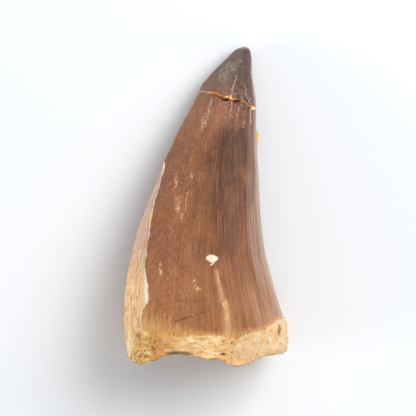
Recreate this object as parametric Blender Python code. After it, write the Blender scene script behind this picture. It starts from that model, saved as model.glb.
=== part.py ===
"""A fossil mosasaur tooth, lying on its side as it does on a table.

The tooth is one solid. It starts as a UV sphere whose rings take the tooth's form: the rings run from the tip
down the outside of the crown to the broken rim, across the rim, and into the pulp hollow, where the sphere's
other pole ends. Relief is then raised or sunk along the surface's own normals.

Frame: +Y points to the tip, +X to the rear (concave) edge, +Z up. The origin is the centre of the base of the
tooth's box, on the surface that it rests on. Sizes are in millimetres until the last step, which makes metres.
"""

import math

import bmesh
import bpy
import numpy as np
from mathutils import Vector, noise

MM = 0.001

# Driving dimensions, in millimetres.
TIP_Y = 31.85
CAP_START_Y = 30.9
RIM_Y = -30.2
CREST_SHARE = 0.58

# Each outline is a smooth curve through (y, value) points.
FRONT_EDGE_X = [
    (31.9, 6.7), (30.1, 5.0), (26.5, 1.4), (24.0, -0.6), (21.5, -1.7), (15.4, -5.0), (9.3, -7.85),
    (3.1, -10.65), (-5.9, -13.95), (-14.0, -15.8), (-23.9, -16.4), (-30.3, -15.7),
]
REAR_EDGE_X = [
    (31.9, 9.0), (29.6, 9.4), (26.5, 9.45), (22.2, 10.05), (11.3, 10.35), (7.3, 10.65), (-4.7, 11.4),
    (-9.5, 12.05), (-14.9, 13.4), (-19.4, 14.7), (-23.9, 15.95), (-27.0, 16.25), (-30.3, 15.8),
]
TOP_Z = [
    (31.9, 3.6), (30.1, 4.9), (26.5, 7.2), (21.5, 9.9), (12.0, 14.1), (0.0, 17.9), (-12.0, 20.6), (-24.0, 22.8),
    (-31.0, 22.6),
]
UNDERSIDE_Z = [
    (31.9, 1.6), (30.0, 0.6), (27.0, -0.3), (21.5, 0.6), (12.0, 1.4), (0.0, 1.4), (-12.0, 0.4),
    (-20.0, -0.8), (-31.0, -1.2),
]
# The height of the widest line, as a share of the thickness.
FRONT_EDGE_LIFT = 0.46
REAR_EDGE_LIFT = 0.50
# How far round from a section's middle the front half blends into the rear half, as a cosine.
HALVES_BLEND = 0.6
# How round a section is where it meets its edge: 1 is a sharp keel, 2 is an ellipse, more is squarer.
FRONT_TOP_ROUND = [(31.9, 1.9), (27.0, 1.3), (9.0, 1.15), (0.0, 1.7), (-12.0, 2.3), (-31.0, 2.6)]
REAR_TOP_ROUND = 2.5
UNDERSIDE_ROUND = [(31.9, 1.9), (21.0, 1.4), (0.0, 1.8), (-20.0, 2.6), (-31.0, 2.8)]
FACE_FLATNESS = 2.15

# The broken rim, as (x, y) along the upper wall and along the lower wall.
UPPER_RIM_Y = [
    (-15.9, -30.5), (-14.4, -31.2), (-10.6, -30.8), (-8.4, -29.8), (-7.2, -29.6), (-3.1, -29.6),
    (-1.8, -29.9), (0.4, -30.4), (2.9, -30.45), (3.7, -30.8), (5.4, -31.7), (8.0, -31.6), (10.6, -30.2),
    (13.5, -29.5), (15.2, -29.4), (16.3, -28.7),
]
LOWER_RIM_Y = [
    (-15.9, -30.3), (-12.0, -29.4), (-8.0, -30.0), (-2.2, -29.9), (3.0, -29.0), (9.0, -29.5), (16.3, -28.7),
]
RIM_SKEW_END_Y = -16.0

# The old break across the crown, below the tip: (x, y) along the upper face, then along the underside.
BREAK_Y = 21.6
BREAK_UPPER = [
    (-0.7, 23.2), (1.2, 22.9), (2.8, 22.6), (3.9, 21.8), (5.4, 21.6), (7.0, 21.1), (8.2, 20.9), (9.0, 19.9),
    (10.1, 19.5),
]
BREAK_UNDER = [(-0.7, 23.2), (2.0, 22.2), (6.0, 21.9), (10.1, 19.5)]
BREAK_REACH = 3.6
BREAK_RING_GAP = 0.3
BREAK_GROOVE_WIDTH = 0.21
BREAK_DEPTH = 0.35
# Deeper places along it: x, half length and extra depth.
BREAK_GAPS = [(3.9, 0.75, 0.55), (6.3, 0.7, 0.4)]

# The edge of the enamel beside the bare strip of dentine, as (y, x) seen from above.
ENAMEL_EDGE_X = [
    (11.0, -8.6), (8.5, -8.1), (5.3, -9.0), (1.2, -10.15), (-3.7, -11.0), (-8.8, -11.75), (-13.0, -12.0),
    (-15.0, -11.55), (-19.0, -11.4), (-20.2, -12.2), (-25.0, -12.4),
]
# The strip lies lower than the enamel by the enamel's thickness, below a narrow slope. It sets in between two
# heights, and on the underside it ends between two sines of the angle.
ENAMEL_THICKNESS = 0.4
ENAMEL_SLOPE = 0.3
BARE_START_Y = (10.5, 8.5)
BARE_END = (-0.2, -0.5)

# The bone at the base: its upper limit, as (x, y) seen from above.
BONE_LINE_Y = [
    (-12.5, -24.6), (-8.0, -25.4), (4.5, -25.8), (5.5, -26.1), (7.3, -25.5), (9.0, -24.7), (11.3, -24.3),
    (13.0, -23.2), (15.3, -21.9),
]
BONE_SWELL = 0.25
BONE_LUMP = 0.3
BONE_LUMP_SIZE = 2.6
BONE_SLOPE = 0.5
UNDER_BONE_LINE_SIZE = 6.0

# The broken end: how rough it is, and the pulp hollow in it.
BROKEN_LUMP = 0.75
BROKEN_LUMP_SIZE = 5.0
BROKEN_GRAIN = 0.3
BROKEN_GRAIN_SIZE = 1.9
HOLLOW_CENTRE = (-1.5, 10.8)
HOLLOW_SHARE = 0.52
HOLLOW_DEPTH = 10.5
HOLLOW_MOUTH_Y = -28.7

# Things that stand on the enamel: a pale flake, a crust of matrix on the rear edge, and faint lengthwise flutes.
FLAKE_CENTRE = (1.2, -10.2)
FLAKE_HALF_SIZE = (1.15, 0.75)
FLAKE_HEIGHT = 0.35
FLAKE_EDGE = (0.75, 1.25)
CRUST_Y = 13.9
CRUST_HALF_LENGTH = 1.3
CRUST_HALF_TURN = 0.22
CRUST_HEIGHT = 0.7
FLUTE_HEIGHT = 0.09
FLUTE_SIZE = 1.6
FLUTE_STRETCH = 14.0
FLUTE_START_Y = (30.0, 24.0)
# What only the upper face has fades out round its edges between these sines of the angle.
UPPER_FACE = (-0.25, 0.25)
SHARP_EDGE_DEGREES = 50

# Mesh density.
UPPER_COLUMNS = 42
UNDER_COLUMNS = 28
CROWN_RINGS = 24
TIP_RINGS = 13
BASE_RINGS = 11
RIM_RINGS = 4
HOLLOW_RINGS = 6
BONE_START_Y = -21.5


def smooth_curve(points, at):
    """The value at each place, on a smooth curve through the points."""
    knots, values = np.array(sorted(points), float).T
    slopes = np.gradient(values, knots)
    index = np.clip(np.searchsorted(knots, at) - 1, 0, len(knots) - 2)
    step = knots[index + 1] - knots[index]
    f = np.clip((at - knots[index]) / step, 0.0, 1.0)
    start = values[index] * (1 + 2 * f) * (1 - f) ** 2 + slopes[index] * step * f * (1 - f) ** 2
    end = values[index + 1] * f**2 * (3 - 2 * f) - slopes[index + 1] * step * f**2 * (1 - f)
    return start + end


def ramp(low, high, at):
    """0 before low, 1 past high, and a smooth step between them. Low may be the larger."""
    f = np.clip((at - low) / (high - low), 0.0, 1.0)
    return f * f * (3 - 2 * f)


def bump(at, width):
    """1 at zero, falling smoothly away on both sides."""
    return np.exp(-((at / width) ** 2))


def lumps(points, size, seed, octaves=2):
    """Smooth noise from about -1 to 1 over the points, with lumps of that size in millimetres."""
    shift = Vector((seed * 13.1, seed * 7.7, seed * 3.3))
    return np.array([noise.fractal(Vector(p) / size + shift, 1.0, 2.0, octaves) for p in points])


def section(y, angle):
    """x and z on the plain body at height y. Angle 0 is the front edge, a quarter turn the crest of the upper
    face, a half turn the rear edge, and three quarters the underside."""
    cap = np.sqrt(np.clip(1 - (np.maximum(y - CAP_START_Y, 0) / (TIP_Y - CAP_START_Y)) ** 2, 0, 1))
    front, rear = smooth_curve(FRONT_EDGE_X, y), smooth_curve(REAR_EDGE_X, y)
    top, under = smooth_curve(TOP_Z, y), smooth_curve(UNDERSIDE_Z, y)
    crest = front + (rear - front) * CREST_SHARE
    across, up = np.cos(angle), np.sin(angle)
    rearward = ramp(HALVES_BLEND, -HALVES_BLEND, across)
    edge = under + (top - under) * (FRONT_EDGE_LIFT + (REAR_EDGE_LIFT - FRONT_EDGE_LIFT) * rearward)
    upper_round = smooth_curve(FRONT_TOP_ROUND, y) * (1 - rearward) + REAR_TOP_ROUND * rearward
    lower_round = smooth_curve(UNDERSIDE_ROUND, y)
    reach = np.where(across > 0, front - crest, rear - crest)
    x = crest + cap * reach * np.abs(across) ** (2 / FACE_FLATNESS)
    rise = np.where(up > 0, top - edge, under - edge)
    power = 2 / np.where(up > 0, upper_round, lower_round)
    z = edge + cap * rise * np.abs(up) ** power
    return x, z


def ring_levels():
    """The height of each ring of the outside, from the tip to the rim, before the break and rim skew them."""
    turn = np.linspace(0, math.pi / 2, TIP_RINGS + 1)[:-1]
    tip = TIP_Y - (TIP_Y - BREAK_Y - BREAK_RING_GAP) * (1 - np.cos(turn))
    groove = [BREAK_Y + BREAK_RING_GAP, BREAK_Y, BREAK_Y - BREAK_RING_GAP]
    crown = np.linspace(BREAK_Y - BREAK_RING_GAP, BONE_START_Y, CROWN_RINGS + 1)[1:]
    base = np.linspace(BONE_START_Y, RIM_Y, BASE_RINGS + 1)[1:]
    return np.concatenate([tip, groove, crown, base])


def along_section(upper, lower, level, angle):
    """A line that crosses the upper face along one curve and the underside along another."""
    x, _ = section(np.full_like(angle, level), angle)
    return np.where(np.sin(angle) > 0, smooth_curve(upper, x), smooth_curve(lower, x))


def outer_height(level, angle):
    """A ring's height at each angle: rings near the break and near the rim follow them."""
    break_offset = along_section(BREAK_UPPER, BREAK_UNDER, BREAK_Y, angle) - BREAK_Y
    rim_offset = along_section(UPPER_RIM_Y, LOWER_RIM_Y, RIM_Y, angle) - RIM_Y
    near_break = bump(level - BREAK_Y, BREAK_REACH)
    near_rim = ramp(RIM_SKEW_END_Y, RIM_Y, level)
    return level + break_offset * near_break + rim_offset * near_rim


def inner_points(step, angle):
    """Points across the rim and into the hollow. Step runs from 0 at the rim's outer edge to 1 at the mouth of
    the hollow and 2 at its end."""
    rim_y = outer_height(np.full_like(angle, RIM_Y), angle)
    rim_x, rim_z = section(rim_y, angle)
    across, depth = np.clip(step, 0, 1), np.clip(step - 1, 0, 1)
    share = (1 - (1 - HOLLOW_SHARE) * across) * np.sqrt(1 - depth**2)
    x = HOLLOW_CENTRE[0] + (rim_x - HOLLOW_CENTRE[0]) * share
    z = HOLLOW_CENTRE[1] + (rim_z - HOLLOW_CENTRE[1]) * share
    y = rim_y + (HOLLOW_MOUTH_Y - rim_y) * ramp(0, 1, across) + HOLLOW_DEPTH * depth
    return np.column_stack([x, y, z])


def relief(points, level, angle):
    """How far the outside stands out from the plain body, along its normals."""
    x, y = points[:, 0], points[:, 1]
    upper = ramp(*UPPER_FACE, np.sin(angle))
    flutes = lumps(points * [1, 1 / FLUTE_STRETCH, 1], FLUTE_SIZE, 4)
    height = FLUTE_HEIGHT * flutes * ramp(*FLUTE_START_Y, y)

    past_enamel = smooth_curve(ENAMEL_EDGE_X, y) - x
    bare = ramp(-ENAMEL_SLOPE / 2, ENAMEL_SLOPE / 2, past_enamel) * ramp(*BARE_START_Y, y)
    bare = bare * ramp(BARE_END[1], BARE_END[0], np.sin(angle)) * (np.cos(angle) > 0)
    height = height - ENAMEL_THICKNESS * bare

    bone_line = smooth_curve(BONE_LINE_Y, x) - (1 - upper) * lumps(points, UNDER_BONE_LINE_SIZE, 9)
    bone = ramp(-BONE_SLOPE / 2, BONE_SLOPE / 2, bone_line - y)
    height = height + bone * (BONE_SWELL + BONE_LUMP * lumps(points, BONE_LUMP_SIZE, 2, 3))

    groove = bump(level - BREAK_Y, BREAK_GROOVE_WIDTH)
    gaps = sum(depth * bump(x - gap_x, width) for gap_x, width, depth in BREAK_GAPS) * upper
    height = height - groove * (BREAK_DEPTH + gaps)

    apart_x = (x - FLAKE_CENTRE[0]) / FLAKE_HALF_SIZE[0]
    apart_y = (y - FLAKE_CENTRE[1]) / FLAKE_HALF_SIZE[1]
    flake = ramp(FLAKE_EDGE[1], FLAKE_EDGE[0], np.hypot(apart_x, apart_y))
    height = height + FLAKE_HEIGHT * flake * upper

    crust = bump(y - CRUST_Y, CRUST_HALF_LENGTH) * bump(angle - math.pi, CRUST_HALF_TURN)
    return height + CRUST_HEIGHT * crust


def broken_relief(points):
    """The same for the rough broken end and the hollow."""
    coarse = BROKEN_LUMP * lumps(points, BROKEN_LUMP_SIZE, 6)
    return coarse + BROKEN_GRAIN * lumps(points, BROKEN_GRAIN_SIZE, 7)


def angle_of(column):
    """The angle of each column of points: the upper face has more columns than the underside."""
    upper = math.pi * column / UPPER_COLUMNS
    under = math.pi * (1 + (column - UPPER_COLUMNS) / UNDER_COLUMNS)
    return np.where(column <= UPPER_COLUMNS, upper, under)


def read_rows(items, name):
    """Positions or normals as rows of three."""
    values = np.empty(len(items) * 3)
    items.foreach_get(name, values)
    return values.reshape(-1, 3)


def write_points(mesh, points):
    mesh.vertices.foreach_set("co", points.astype(np.float32).ravel())
    mesh.update()


def sphere_mesh(columns, rings):
    """A UV sphere, and each point's column and ring."""
    mesh = bpy.data.meshes.new("tooth")
    shell = bmesh.new()
    bmesh.ops.create_uvsphere(shell, u_segments=columns, v_segments=rings, radius=1.0)
    shell.to_mesh(mesh)
    shell.free()
    points = read_rows(mesh.vertices, "co")
    turn = np.arctan2(points[:, 1], points[:, 0]) / (2 * math.pi) % 1.0
    column = np.round(turn * columns) % columns
    ring = np.round(np.arccos(np.clip(points[:, 2], -1, 1)) / math.pi * rings).astype(int)
    return mesh, column, ring


def face_outwards(mesh):
    shell = bmesh.new()
    shell.from_mesh(mesh)
    bmesh.ops.recalc_face_normals(shell, faces=shell.faces)
    shell.to_mesh(mesh)
    shell.free()


def tooth_mesh():
    """The tooth as a closed mesh in metres, standing on z = 0."""
    levels = ring_levels()
    last_outer = len(levels) - 1
    rings = last_outer + RIM_RINGS + HOLLOW_RINGS
    mesh, column, ring = sphere_mesh(UPPER_COLUMNS + UNDER_COLUMNS, rings)
    angle = angle_of(column)

    outer = ring <= last_outer
    level = levels[np.minimum(ring, last_outer)]
    y = outer_height(level, angle)
    x, z = section(y, angle)
    points = np.column_stack([x, y, z])
    past_rim = np.maximum(ring - last_outer, 0)
    step = np.where(past_rim <= RIM_RINGS, past_rim / RIM_RINGS, 1 + (past_rim - RIM_RINGS) / HOLLOW_RINGS)
    points[~outer] = inner_points(step[~outer], angle[~outer])
    write_points(mesh, points)
    face_outwards(mesh)

    normals = read_rows(mesh.vertex_normals, "vector")
    height = np.where(outer, relief(points, level, angle), broken_relief(points))
    points = points + normals * height[:, None]
    points[:, 2] = np.maximum(points[:, 2], 0.0)
    middle = (points.min(0) + points.max(0)) / 2
    points -= [middle[0], middle[1], 0.0]
    write_points(mesh, points * MM)
    return mesh


def fossil_material():
    material = bpy.data.materials.new("fossil_enamel")
    material.use_nodes = True
    surface = material.node_tree.nodes["Principled BSDF"]
    surface.inputs["Base Color"].default_value = (0.33, 0.15, 0.08, 1.0)
    surface.inputs["Roughness"].default_value = 0.45
    surface.inputs["Metallic"].default_value = 0.0
    return material


def build_tooth():
    mesh = tooth_mesh()
    mesh.materials.append(fossil_material())
    mesh.shade_smooth()
    mesh.set_sharp_from_angle(angle=math.radians(SHARP_EDGE_DEGREES))
    tooth = bpy.data.objects.new("tooth", mesh)
    collection = bpy.data.collections.new("fossil_mosasaur_tooth")
    bpy.context.scene.collection.children.link(collection)
    collection.objects.link(tooth)


for old in list(bpy.data.objects):
    bpy.data.objects.remove(old)
build_tooth()
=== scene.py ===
"""Looks of a fossil mosasaur tooth that lies on its side: fine surface, materials, floor, light and camera.

The fine surface is built as the solid is, from the same outlines, with many more points and finer relief.
Marks such as the bare dentine, the bone and the cracks are kept on its points as distances in millimetres.
The material turns them into colour, roughness and grain.
"""

import math

import bmesh
import bpy
import numpy as np
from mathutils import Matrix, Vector, noise


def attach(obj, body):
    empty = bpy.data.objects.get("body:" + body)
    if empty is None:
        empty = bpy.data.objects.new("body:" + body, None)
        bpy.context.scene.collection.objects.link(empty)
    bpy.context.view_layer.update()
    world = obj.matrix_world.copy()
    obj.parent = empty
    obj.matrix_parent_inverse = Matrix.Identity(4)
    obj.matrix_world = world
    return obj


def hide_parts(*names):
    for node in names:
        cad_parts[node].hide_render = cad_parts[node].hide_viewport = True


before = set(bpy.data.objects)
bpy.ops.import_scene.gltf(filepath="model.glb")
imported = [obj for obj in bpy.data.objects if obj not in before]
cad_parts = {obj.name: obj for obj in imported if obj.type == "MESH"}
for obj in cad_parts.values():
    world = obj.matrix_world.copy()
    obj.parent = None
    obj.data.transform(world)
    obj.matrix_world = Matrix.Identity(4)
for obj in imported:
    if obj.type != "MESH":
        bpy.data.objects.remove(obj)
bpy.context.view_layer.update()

MM = 0.001

# The plain body, in millimetres. +Y points to the tip, +X to the rear edge, and +Z up. Each list is a smooth
# curve through (y, value) points. The crest's place is a share of the width.
TIP_Y = 31.85
CAP_START_Y = 30.9
RIM_Y = -30.2
CREST_SHARE = 0.58
FRONT_EDGE_X = [
    (31.9, 6.7), (30.1, 5.0), (26.5, 1.4), (24.0, -0.6), (21.5, -1.7), (15.4, -5.0), (9.3, -7.85),
    (3.1, -10.65), (-5.9, -13.95), (-14.0, -15.8), (-23.9, -16.4), (-30.3, -15.7),
]
REAR_EDGE_X = [
    (31.9, 9.0), (29.6, 9.4), (26.5, 9.45), (22.2, 10.05), (11.3, 10.35), (7.3, 10.65), (-4.7, 11.4),
    (-9.5, 12.05), (-14.9, 13.4), (-19.4, 14.7), (-23.9, 15.95), (-27.0, 16.25), (-30.3, 15.8),
]
TOP_Z = [
    (31.9, 3.6), (30.1, 4.9), (26.5, 7.2), (21.5, 9.9), (12.0, 14.1), (0.0, 17.9), (-12.0, 20.6),
    (-24.0, 22.8), (-31.0, 22.6),
]
UNDERSIDE_Z = [
    (31.9, 1.6), (30.0, 0.6), (27.0, -0.3), (21.5, 0.6), (12.0, 1.4), (0.0, 1.4), (-12.0, 0.4),
    (-20.0, -0.8), (-31.0, -1.2),
]
# The height of the widest line, as a share of the thickness.
FRONT_EDGE_LIFT = 0.46
REAR_EDGE_LIFT = 0.50
# How far round from a section's middle the front half blends into the rear half, as a cosine.
HALVES_BLEND = 0.6
# How round a section is where it meets its edge: 1 is a sharp keel, 2 is an ellipse, more is squarer.
FRONT_TOP_ROUND = [(31.9, 1.9), (27.0, 1.3), (9.0, 1.15), (0.0, 1.7), (-12.0, 2.3), (-31.0, 2.6)]
REAR_TOP_ROUND = 2.5
UNDERSIDE_ROUND = [(31.9, 1.9), (21.0, 1.4), (0.0, 1.8), (-20.0, 2.6), (-31.0, 2.8)]
FACE_FLATNESS = 2.15

# The broken rim, as (x, y) along the upper wall and along the lower wall.
UPPER_RIM_Y = [
    (-15.9, -30.5), (-14.4, -31.2), (-10.6, -30.8), (-8.4, -29.8), (-7.2, -29.6), (-3.1, -29.6),
    (-1.8, -29.9), (0.4, -30.4), (2.9, -30.45), (3.7, -30.8), (5.4, -31.7), (8.0, -31.6), (10.6, -30.2),
    (13.5, -29.5), (15.2, -29.4), (16.3, -28.7),
]
LOWER_RIM_Y = [
    (-15.9, -30.3), (-12.0, -29.4), (-8.0, -30.0), (-2.2, -29.9), (3.0, -29.0), (9.0, -29.5), (16.3, -28.7),
]
RIM_SKEW_END_Y = -16.0

# The middle of the solid's box in the outlines' own x and y. The solid is built with them and then centred.
CAD_MIDDLE = (0.156, -0.153)

# The old break across the crown: its line above and below, how far it bends the rings beside it, its groove,
# and the open gaps along it as (x, y, half length, depth).
BREAK_Y = 21.6
BREAK_UPPER = [
    (-0.7, 22.85), (1.2, 22.45), (2.2, 22.25), (3.1, 21.8), (4.1, 21.5), (5.4, 21.3), (7.0, 20.8),
    (8.2, 20.6), (9.0, 19.9), (10.1, 19.5),
]
BREAK_UNDER = [(-0.7, 22.85), (2.0, 22.2), (6.0, 21.9), (10.1, 19.5)]
BREAK_REACH = 3.6
BREAK_WIDTH = 0.22
BREAK_DEPTH = 0.22
BREAK_GAPS = [(3.95, 21.6, 0.9, 0.9), (6.2, 21.3, 0.75, 0.7), (2.9, 22.0, 0.5, 0.5)]
GAP_HALF_WIDTH = 0.26
# The tip's side of the break stands this much higher.
BREAK_STEP_HEIGHT = 0.06

# The marks below are shifted by this much, because their places were read off the photograph, where height
# moves them a little against the body's own outlines.
MARKS_SHIFT = (0.14, -0.45)
# Marks of the upper face fade out round its edges between these sines of the angle.
UPPER_FACE = (-0.25, 0.25)
# Distances to a mark are cut off here, and a point that the mark can't reach gets this.
FAR = 3.0

# The edge of the enamel beside the bare strip of dentine, as (y, x) seen from above.
ENAMEL_EDGE_X = [
    (11.0, -8.6), (8.5, -8.1), (5.3, -9.0), (1.2, -10.15), (-3.7, -11.0), (-8.8, -11.75), (-13.0, -12.0),
    (-15.0, -11.65), (-19.0, -11.55), (-20.2, -12.3), (-25.0, -12.5),
]
ENAMEL_THICKNESS = 0.4
# Where the strip ends towards the tip, and how it tapers there. On the underside it ends at this sine of the
# angle, where a sine counts as so many millimetres. Its edge grows more ragged towards the base.
STRIP_END_Y = 10.0
STRIP_TAPER = 0.3
STRIP_END_SINE = -0.35
STRIP_END_MM = 6
STRIP_RAGGED = (0.06, 0.22)
STRIP_DEPTH_Y = (10.5, 2.0)
FIBRE_HEIGHT = 0.13
FIBRE_STRETCH = 7
STRIP_GRAIN_HEIGHT = 0.04

# Faint flutes and growth lines along the enamel, which start a little below the tip, and its fine grain.
FLUTE_HEIGHT = 0.09
FLUTE_SIZE = 1.6
FLUTE_STRETCH = 14
FLUTE_START_Y = (30, 24)
GROWTH_HEIGHT = 0.022
GROWTH_SIZE = 0.45
GROWTH_STRETCH = 30
GROWTH_START_Y = (29, 22)
ENAMEL_GRAIN_HEIGHT = 0.012

# The bone at the base: its upper limit, as (x, y) seen from above, and its relief. Terraces fill its middle
# between a front and a rear slope, and sand its front.
BONE_LINE_Y = [
    (-16.4, -31.5), (-15.2, -29.5), (-14.3, -26.2), (-12.9, -24.3), (-11.0, -24.9), (-8.0, -25.4),
    (4.5, -25.8), (5.5, -26.1), (7.3, -25.5), (9.0, -24.7), (11.3, -24.3), (13.0, -23.2), (15.3, -21.9),
]
BONE_SWELL = 0.25
BONE_LUMP = 0.3
BONE_GRAIN_HEIGHT = 0.05
TERRACE_DEPTH = 0.3
TERRACE_FRONT_X = (-9, -5)
TERRACE_REAR_X = (6, 3)
SANDY_GRAIN_HEIGHT = 0.16
SANDY_X = (-6.0, -11.0)

# The broken end: how rough it is, and the pulp hollow in it, whose centre is given as x and z.
BROKEN_LUMP = 0.75
BROKEN_LUMP_SIZE = 5.0
BROKEN_GRAIN = 0.3
BROKEN_GRAIN_SIZE = 1.9
BROKEN_SAND_HEIGHT = 0.14
HOLLOW_CENTRE = (-1.5, 10.8)
HOLLOW_SHARE = 0.52
HOLLOW_DEPTH = 10.5
HOLLOW_MOUTH_Y = -28.7

# The pale flake, with its tail, and the crust on the rear edge.
FLAKE_CENTRE = (1.25, -10.2)
FLAKE_HALF_SIZE = (1.15, 0.75)
FLAKE_TAIL = [(1.8, -10.5), (1.5, -11.2), (1.05, -11.55)]
FLAKE_TAIL_HALF_WIDTH = 0.16
FLAKE_HEIGHT = 0.32
CRUST_Y = 13.9
CRUST_HALF_LENGTH = 1.3
CRUST_HALF_TURN = 0.22
CRUST_HEIGHT = 0.5

# How far the other small marks stand out or lie deeper.
HAIRLINE_DEPTH = 0.035
SCRATCH_DEPTH = 0.03
FILL_LUMP_HEIGHT = 0.12
CURL_HEIGHT = 0.05
CREAM_HEIGHT = 0.1

# Hairline cracks filled with pale matrix, seen from above: points (x, y) and half width.
HAIRLINES = [
    ([(5.2, 22.3), (5.5, 23.7), (5.8, 24.9), (6.2, 25.9), (6.45, 26.8)], 0.07),
    ([(5.3, 21.3), (5.2, 19.9), (4.9, 18.9), (4.8, 17.9)], 0.05),
    ([(6.6, 24.9), (7.7, 24.7), (8.0, 23.7), (8.1, 22.4), (8.5, 21.6), (9.3, 20.2)], 0.03),
    ([(9.75, 23.0), (9.1, 21.8), (8.5, 20.9)], 0.03),
    ([(2.6, 23.8), (3.9, 23.95), (5.2, 23.5)], 0.03),
    ([(2.8, 21.5), (2.9, 19.9)], 0.04),
    ([(6.8, 20.2), (6.4, 18.2)], 0.04),
    ([(5.3, 18.1), (8.5, 17.9)], 0.04),
    ([(7.9, 17.7), (7.5, 15.5)], 0.04),
    ([(9.0, 19.8), (9.1, 16.5)], 0.05),
    ([(-3.5, 2.9), (-3.9, 1.5), (-4.0, -0.7), (-4.4, -1.3)], 0.07),
]
# Lumps of matrix in the break: centre and half sizes.
FILL_LUMPS = [(5.0, 21.95, 0.45, 0.42), (9.5, 19.85, 0.4, 0.42), (4.3, 22.05, 0.4, 0.2)]
# Thin pale curls of matrix on the enamel: centre, half sizes and strength.
CURLS = [
    (1.15, 21.2, 0.25, 0.9, 1.4),
    (0.9, 19.4, 0.5, 1.2, 1.1),
    (0.3, 18.2, 0.6, 0.9, 1.1),
    (-0.3, 17.0, 0.6, 1.1, 1.6),
    (-0.9, 15.8, 0.35, 0.8, 1.0),
    (-2.7, 6.4, 0.35, 0.9, 1.2),
    (-3.0, 9.5, 0.3, 0.5, 0.8),
    (-5.9, 5.3, 0.45, 1.6, 1.1),
    (-6.3, 3.6, 0.4, 0.5, 1.0),
    (-5.5, 1.3, 0.8, 1.2, 1.1),
    (-5.5, -0.3, 0.7, 0.8, 1.2),
    (-4.6, -2.3, 0.5, 1.3, 1.0),
    (-7.0, -4.4, 0.3, 0.9, 0.7),
    (-8.9, -12.4, 0.4, 1.6, 1.4),
    (-2.2, -14.9, 0.5, 0.9, 1.1),
    (-1.4, -16.2, 0.7, 0.5, 1.3),
    (-2.4, -21.3, 1.2, 0.5, 0.7),
    (3.1, -18.6, 0.5, 0.6, 1.0),
    (2.5, -15.0, 0.3, 1.2, 1.2),
    (3.9, -19.6, 0.45, 1.3, 1.5),
    (4.2, -21.8, 0.35, 1.2, 1.2),
]
# Grey-green dust at the tip: centre, half sizes and strength.
DUST = [
    (3.6, 26.4, 1.1, 1.5, 1.0),
    (5.2, 28.2, 1.3, 1.1, 0.9),
    (6.9, 29.3, 1.0, 0.6, 0.5),
]
# A soft pale streak below the flake: its points, and its half width at the first and the last.
STREAK = [
    (2.2, -12.6), (2.4, -14.4), (3.0, -16.4), (3.3, -17.8), (3.9, -19.3), (4.3, -21.2), (4.4, -23.0),
    (4.7, -25.6),
]
STREAK_HALF_WIDTH = (0.35, 0.95)
# Cream matter along the bare strip, then on the bone: points and half width.
CREAM_LINES = [
    ([(-10.85, -1.0), (-10.95, -2.2), (-11.15, -3.4)], 0.3),
    ([(-11.95, -12.4), (-11.8, -14.5), (-11.85, -16.8), (-11.8, -19.0)], 0.42),
    ([(-15.5, -26.4), (-15.4, -28.0), (-15.0, -30.4)], 0.4),
    ([(-3.5, -26.2), (-0.5, -26.8), (2.8, -26.4)], 0.25),
    ([(-8.0, -28.45), (-5.0, -28.4), (-2.5, -28.5), (-1.0, -28.3), (1.8, -28.9)], 0.14),
]
# How strong the stains, painted shade and pits are on the broken face, where 1 is their strength on the
# outside.
MARKS_ON_BREAK = 0.15
# Brown stains on the bone, and painted shade: centre, half sizes and strength.
STAINS_AND_SHADE = [
    (-10.1, -28.2, 1.3, 0.6, 1.0),
    (-13.4, -25.4, 1.1, 1.4, 0.9),
    (-12.2, -29.6, 1.8, 0.8, 1.0),
    (14.4, -24.4, 0.5, 1.5, 1.2),
    (12.3, -26.9, 0.4, 0.6, 0.9),
    (14.3, -28.5, 0.9, 0.4, 0.7),
    (5.4, -26.9, 1.0, 1.0, 0.8),
    # These two are darker round the first two pits.
    (3.6, -29.1, 1.1, 0.5, 1.1),
    (5.1, -28.7, 0.7, 0.35, 0.9),
    # A painted shadow along the slit under the broken rim's edge at the bottom.
    (-5.3, -29.1, 2.6, 0.36, 1.6),
]
# Dark scratches on the enamel: points and half width.
SCRATCHES = [
    ([(-6.0, -18.45), (0.0, -18.6)], 0.0),
    ([(-5.9, -22.7), (-4.2, -22.0), (-2.9, -21.6), (-1.0, -21.0), (0.9, -20.4)], 0.0),
]
# Recesses in the bone: centre, half sizes and depth. Their colour is painted shade in them, and the last
# lies along the slit under the broken rim's edge at the bottom.
PITS = [(3.54, -29.1, 0.5, 0.32, 0.5), (5.14, -28.7, 0.3, 0.2, 0.4), (-5.2, -28.98, 2.3, 0.36, 1.1)]
# Where the enamel begins to wear through to the bone, as (x, y).
WORN_FROM_Y = [
    (-12.5, -18.3), (-9.0, -20.4), (-6.0, -22.2), (-2.5, -23.6), (1.0, -24.4), (5.0, -23.9), (8.0, -23.7),
    (11.5, -23.0), (15.3, -20.6),
]

# The length of the enamel, from the tip to the bone.
ALONG_MM = 58.0
# The growth lines on the enamel all but meet the rear edge, and fan by this share for each millimetre.
LINES_MEET_X = 11.0
LINES_FAN = 0.0074
LINE_SPACING = 0.44
# The width of one face in the coordinates that fan, and how far off the underside's coordinates lie, so that
# its noise differs from the upper face's.
FAN_WIDTH = 33
UNDERSIDE_SHIFT = 40.0

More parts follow.
